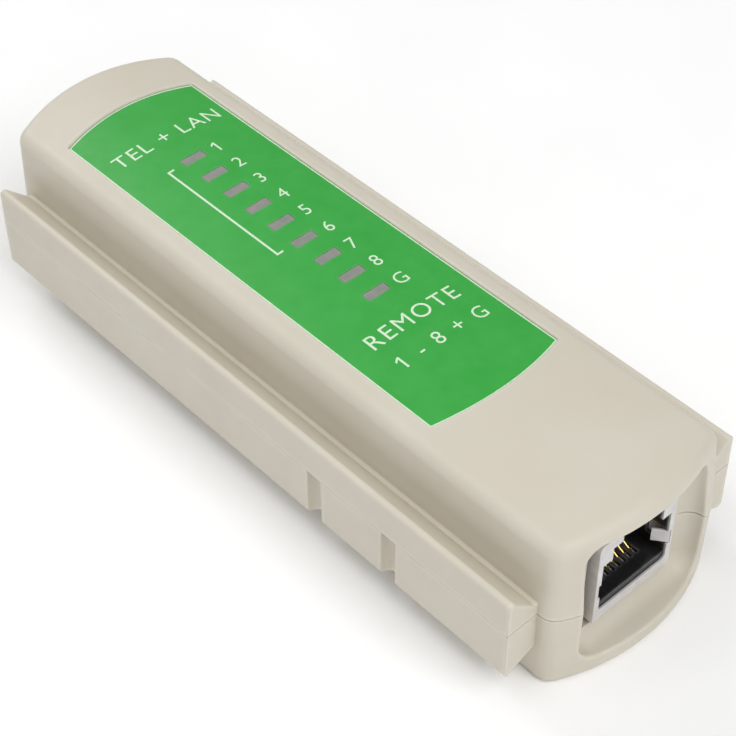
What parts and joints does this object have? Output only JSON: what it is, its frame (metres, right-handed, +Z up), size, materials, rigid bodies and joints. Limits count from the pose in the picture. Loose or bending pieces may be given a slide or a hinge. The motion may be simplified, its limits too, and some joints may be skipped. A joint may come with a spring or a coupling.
{
  "type": "network cable tester far-end unit",
  "caption": "Slim ivory box with side slide rails, a green printed label with a row of lamps, and a shielded modular jack recessed in one bowed end.",
  "frame": {"origin": "on the underside, at the centre of the case", "axes": "+X along the case towards the jack end, +Y across the case, +Z up through the label"},
  "size_m": [0.111, 0.039, 0.025],
  "materials": {
    "case_plastic": "fine satin moulded, ivory",
    "label_film": "satin printed film, green with white lettering",
    "lamp_lens": "clear-grey tinted lens, unlit",
    "lead_wire": "tinned wire",
    "board": "brown paper laminate",
    "resistor": "black chip with tinned ends",
    "shield": "dull tin plate",
    "insert": "black glass-filled plastic",
    "contact": "gold-plated spring wire",
    "tail": "tinned wire",
    "screw": "nickel-plated steel"
  },
  "bodies": {
    "case": {"top_shell": "case_plastic", "bottom_shell": "case_plastic", "face_label": "label_film", "lamp_1": "lamp_lens", "lamp_2": "lamp_lens", "lamp_3": "lamp_lens", "lamp_4": "lamp_lens", "lamp_5": "lamp_lens", "lamp_6": "lamp_lens", "lamp_7": "lamp_lens", "lamp_8": "lamp_lens", "lamp_g": "lamp_lens", "lamp_leads": "lead_wire", "circuit_board": "board", "resistors": "resistor", "jack_shield": "shield", "jack_insert": "insert", "contact_tails": "tail", "shell_screws": "screw"},
    "contact_spring_1": {"contact_1": "contact"},
    "contact_spring_2": {"contact_2": "contact"},
    "contact_spring_3": {"contact_3": "contact"},
    "contact_spring_4": {"contact_4": "contact"},
    "contact_spring_5": {"contact_5": "contact"},
    "contact_spring_6": {"contact_6": "contact"},
    "contact_spring_7": {"contact_7": "contact"},
    "contact_spring_8": {"contact_8": "contact"},
    "side_finger_left": {"shield_finger_left": "shield"},
    "side_finger_right": {"shield_finger_right": "shield"}
  },
  "joints": [
    {"name": "contact_1_flex", "type": "hinge", "parent": "case", "child": "contact_spring_1", "pos_m": [0.0483, -0.00357, 0.0076], "axis": [0, -1, 0], "range_deg": [0, 20], "stiffness_Nm_per_rad": 0.005},
    {"name": "contact_2_flex", "type": "hinge", "parent": "case", "child": "contact_spring_2", "pos_m": [0.0483, -0.00255, 0.0076], "axis": [0, -1, 0], "range_deg": [0, 20], "stiffness_Nm_per_rad": 0.005},
    {"name": "contact_3_flex", "type": "hinge", "parent": "case", "child": "contact_spring_3", "pos_m": [0.0483, -0.00153, 0.0076], "axis": [0, -1, 0], "range_deg": [0, 20], "stiffness_Nm_per_rad": 0.005},
    {"name": "contact_4_flex", "type": "hinge", "parent": "case", "child": "contact_spring_4", "pos_m": [0.0483, -0.00051, 0.0076], "axis": [0, -1, 0], "range_deg": [0, 20], "stiffness_Nm_per_rad": 0.005},
    {"name": "contact_5_flex", "type": "hinge", "parent": "case", "child": "contact_spring_5", "pos_m": [0.0483, 0.00051, 0.0076], "axis": [0, -1, 0], "range_deg": [0, 20], "stiffness_Nm_per_rad": 0.005},
    {"name": "contact_6_flex", "type": "hinge", "parent": "case", "child": "contact_spring_6", "pos_m": [0.0483, 0.00153, 0.0076], "axis": [0, -1, 0], "range_deg": [0, 20], "stiffness_Nm_per_rad": 0.005},
    {"name": "contact_7_flex", "type": "hinge", "parent": "case", "child": "contact_spring_7", "pos_m": [0.0483, 0.00255, 0.0076], "axis": [0, -1, 0], "range_deg": [0, 20], "stiffness_Nm_per_rad": 0.005},
    {"name": "contact_8_flex", "type": "hinge", "parent": "case", "child": "contact_spring_8", "pos_m": [0.0483, 0.00357, 0.0076], "axis": [0, -1, 0], "range_deg": [0, 20], "stiffness_Nm_per_rad": 0.005},
    {"name": "finger_left_flex", "type": "hinge", "parent": "case", "child": "side_finger_left", "pos_m": [0.0517, -0.0063, 0.01095], "axis": [0, 0, 1], "range_deg": [0, 34], "stiffness_Nm_per_rad": 0.001},
    {"name": "finger_right_flex", "type": "hinge", "parent": "case", "child": "side_finger_right", "pos_m": [0.0517, 0.0063, 0.01095], "axis": [0, 0, -1], "range_deg": [0, 34], "stiffness_Nm_per_rad": 0.001}
  ],
  "couplings": [
    {"joint": "contact_2_flex", "follows": "contact_1_flex", "ratio": 1},
    {"joint": "contact_3_flex", "follows": "contact_1_flex", "ratio": 1},
    {"joint": "contact_4_flex", "follows": "contact_1_flex", "ratio": 1},
    {"joint": "contact_5_flex", "follows": "contact_1_flex", "ratio": 1},
    {"joint": "contact_6_flex", "follows": "contact_1_flex", "ratio": 1},
    {"joint": "contact_7_flex", "follows": "contact_1_flex", "ratio": 1},
    {"joint": "contact_8_flex", "follows": "contact_1_flex", "ratio": 1},
    {"joint": "finger_right_flex", "follows": "finger_left_flex", "ratio": 1}
  ]
}
